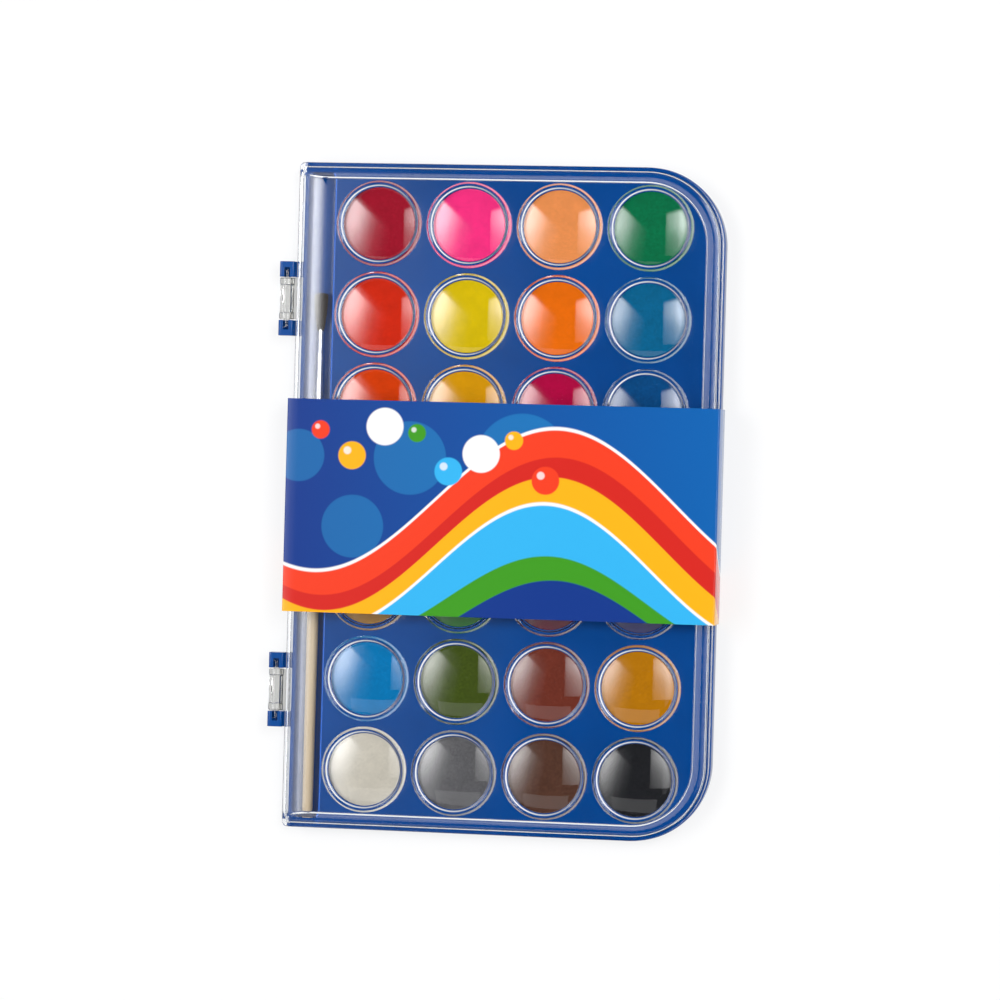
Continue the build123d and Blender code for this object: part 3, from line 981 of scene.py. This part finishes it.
# Brush tuft
# Brown hair, dark and a little glossy, gripped by the ferrule. It spreads towards ragged tips.
strand_count = 900
strand_sides = 3
strand_radius = 0.045 * mm
strand_taper = 0.75
tuft_low, tuft_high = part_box("brush_bristles")
root_radius = 0.62 * mm
side_splay = 2.5
height_splay = 1.2
uneven_splay = 0.25
uneven_tips = 0.35 * mm
tip_round = 0.5 * mm
scatter_step = 12.9898
scatter_gain = 43758.5
dark_hair = (0.008, 0.004, 0.002, 1)
pale_hair = (0.05, 0.028, 0.016, 1)


def tuft_shape():
    """Tapered strands, from a disc of evenly spread roots out to splayed tips, with their ends closed.

    Root number i stands at the golden angle times i, at a radius that grows with the square root of i. The
    strand then moves away from the middle with the square root of its length.
    """
    index = np.arange(strand_count)
    turn = index * math.pi * (3 - math.sqrt(5))
    radius = root_radius * np.sqrt((index + 0.5) / strand_count)
    root = radius[:, None] * unit_steps(turn)
    scatter = np.modf(np.sin(index * scatter_step) * scatter_gain)[0]
    tip = tuft_high.y - tip_round * (radius / root_radius) ** 2 - uneven_tips * np.abs(scatter)
    length = np.concatenate([[0.0], np.linspace(0, 1, 8), [1.0]])
    splay = np.array([side_splay, height_splay]) + uneven_splay * scatter[:, None]
    middle = root * (1 + splay * np.sqrt(length)[:, None, None])
    corner = full_turn(strand_sides)
    thick = strand_radius * (1 - strand_taper * length**2)
    thick[[0, -1]] = 0
    x = brush_x + middle[..., 0].T[:, :, None] + thick[:, None] * np.cos(corner)
    y = (tuft_low.y + (tip[:, None] - tuft_low.y) * length)[:, :, None]
    z = brush_z + middle[..., 1].T[:, :, None] + thick[:, None] * np.sin(corner)
    return joined(x, y, z)


brown_hair, tree, hair = new_material("brown_hair", {"Roughness": 0.5, "Specular IOR Level": 0.3})
feed(tree, hair, {"Base Color": blend(tree, noise(tree, 1500.0), dark_hair, pale_hair)})

tuft = shell("brush_tuft", [(strand, True, True) for strand in tuft_shape()], brown_hair, smooth_angle=180.0)
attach(tuft, "brush")
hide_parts("brush_bristles")

# Card band
# One strip of thin card, printed with paint waves and drops and varnished outside, grey-white inside, folded
# round the closed case with its ends glued below. It slips along the case.
card = 0.35 * mm
fold_radius = 0.55 * mm
long_steps = 42
length_steps = 12
least_outward = 0.01
band_low, band_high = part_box("card_band")
band_width = band_high.x - band_low.x
band_middle = (band_low.x + band_high.x) / 2
fold_turn = np.linspace(0, np.pi / 2, 6)


def fold_loop(inset, y):
    """A rounded rectangle about the case at one place along it, with extra stations on its long sides."""
    loop = []
    for quarter, (x, z) in enumerate(((1, 1), (-1, 1), (-1, -1), (1, -1))):
        centre_x = band_middle + x * (band_width / 2 - fold_radius)
        centre_z = (band_high.z - fold_radius) if z > 0 else (band_low.z + fold_radius)
        arc = (centre_x, centre_z) + (fold_radius - inset) * unit_steps(fold_turn + quarter * np.pi / 2)
        loop.append(arc)
        if quarter % 2 == 0:
            far_x = band_middle - x * (band_width / 2 - fold_radius)
            loop.append(joined(np.linspace(centre_x, far_x, long_steps)[1:-1], arc[-1, 1]))
    return np.insert(np.concatenate(loop), 1, y, axis=1)


# The print's places and sizes are shares of the band's width, across it and along the case
edge_softness = 0.0022
white_ink = (0.86, 0.86, 0.86, 1)
royal_ink = (0.003, 0.035, 0.24, 1)
azure_ink = (0.0, 0.11, 0.40, 1)
sky_ink = (0.03, 0.42, 0.80, 1)
red_ink = (0.83, 0.045, 0.012, 1)
deep_red_ink = (0.62, 0.016, 0.010, 1)
gold_ink = (0.92, 0.42, 0.005, 1)
leaf_ink = (0.045, 0.30, 0.012, 1)
pale_board = (0.80, 0.79, 0.76, 1)
grey_board = (0.62, 0.61, 0.58, 1)
disc_count = 6
disc_start = (0.03, 0.36)
disc_step = (0.13, -0.16)
disc_radius = 0.06
disc_growth = 0.012
disc_ink = 0.22
wave_inks = (
    (0.27, 0.17, 0.9, 4.3, white_ink),
    (0.262, 0.17, 0.9, 4.3, red_ink),
    (0.205, 0.165, 0.92, 4.2, deep_red_ink),
    (0.165, 0.16, 0.95, 4.15, gold_ink),
    (0.118, 0.15, 1.0, 4.05, white_ink),
    (0.110, 0.15, 1.0, 4.05, sky_ink),
    (0.045, 0.10, 1.1, 3.6, leaf_ink),
    (0.0, 0.09, 1.15, 3.3, royal_ink),
)
drop_inks = (red_ink, gold_ink, white_ink, leaf_ink, sky_ink, white_ink, gold_ink, red_ink)
drop_start = (0.08, 0.42)
drop_step = (0.075, -0.01)
drop_swing = 0.05
drop_waves = 1.9
drop_radii = (0.021, 0.032, 0.043)
glance_shift = 0.35
glance_radius = 0.28
glance_ink = 0.7

printed_card, tree, ink = new_material(
    "printed_card", {"Roughness": 0.5, "Specular IOR Level": 0.1, "Coat Weight": 0.7, "Coat Roughness": 0.06}
)
place = node(tree, "SeparateXYZ", {0: node(tree, "TexCoord").outputs["Object"]})
side = maths(tree, "SIGN", maths(tree, "SUBTRACT", place.outputs[0], band_middle))
folded = maths(tree, "MULTIPLY", maths(tree, "SUBTRACT", band_high.z, place.outputs[2]), side)
across = maths(tree, "ADD", maths(tree, "SUBTRACT", place.outputs[0], band_low.x), folded)
across = maths(tree, "DIVIDE", across, band_width)
along = maths(tree, "DIVIDE", maths(tree, "SUBTRACT", place.outputs[1], band_low.y), band_width)


def printed(below, distance, colour, strength=1.0):
    """Prints a colour over another where a distance is positive, with a narrow soft edge."""
    mask = maths(tree, "MULTIPLY", soft_step(tree, distance, edge_softness), strength)
    return blend(tree, mask, below, colour)


def below_wave(height, swing, waves, start):
    """How far the strip lies below a wavy line: height plus swing times the sine of the place."""
    phase = maths(tree, "MULTIPLY_ADD", across, waves * 2 * math.pi, start)
    line = maths(tree, "MULTIPLY_ADD", maths(tree, "SINE", phase), swing, height)
    return maths(tree, "SUBTRACT", line, along)


def inside_disc(x, y, radius):
    """How far the strip lies within a disc about a point."""
    dx = maths(tree, "SUBTRACT", across, x)
    dy = maths(tree, "SUBTRACT", along, y)
    squares = maths(tree, "MULTIPLY_ADD", dx, dx, maths(tree, "MULTIPLY", dy, dy))
    return maths(tree, "SUBTRACT", radius, maths(tree, "SQRT", squares))


print_colour = blend(tree, across, royal_ink, azure_ink)
for index in range(disc_count):
    x = disc_start[0] + disc_step[0] * index
    y = disc_start[1] + disc_step[1] * (index % 2)
    disc = inside_disc(x, y, disc_radius + disc_growth * index)
    print_colour = printed(print_colour, disc, sky_ink, disc_ink)
for *wave, colour in wave_inks:
    print_colour = printed(print_colour, below_wave(*wave), colour)
for index, colour in enumerate(drop_inks):
    x = drop_start[0] + drop_step[0] * index
    y = drop_start[1] - drop_swing * math.sin(drop_waves * index) + drop_step[1] * index
    radius = drop_radii[index % 3]
    print_colour = printed(print_colour, inside_disc(x, y, radius), colour)
    glance = inside_disc(x - glance_shift * radius, y + glance_shift * radius, glance_radius * radius)
    print_colour = printed(print_colour, glance, white_ink, glance_ink)
feed(tree, ink, {"Base Color": print_colour})
surface = maths(tree, "MULTIPLY_ADD", noise(tree, 2500.0), 0.01, noise(tree, 35.0))
bump_from(tree, surface, ink, 0.3, 0.3 * mm)

raw_card, tree, board = new_material("raw_card", {"Roughness": 0.9, "Specular IOR Level": 0.2})
fibre = noise(tree, 900.0, 4.0)
feed(tree, board, {"Base Color": blend(tree, fibre, grey_board, pale_board)})
bump_from(tree, fibre, board, 0.3, 0.03 * mm)

lengths = np.linspace(band_low.y, band_high.y, length_steps)
band_rows = [fold_loop(0, y) for y in lengths] + [fold_loop(card, y) for y in lengths[::-1]]
band_rows.append(band_rows[0])
band = shell("card_band_strip", [(np.array(band_rows), True, True)], printed_card, raw_card)

# Faces that don't look outwards, seen from the middle of the loop, are raw card
from_middle = vectors_of(band.data.polygons, "center") - (band_middle, 0, band_high.z / 2)
outwards = vectors_of(band.data.polygons, "normal") * from_middle / (band_width, 1, band_high.z)
raw_face = outwards[:, 0] + outwards[:, 2] < least_outward
band.data.polygons.foreach_set("material_index", raw_face.astype(np.int32))
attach(band, "band")
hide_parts("card_band")
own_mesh(band)
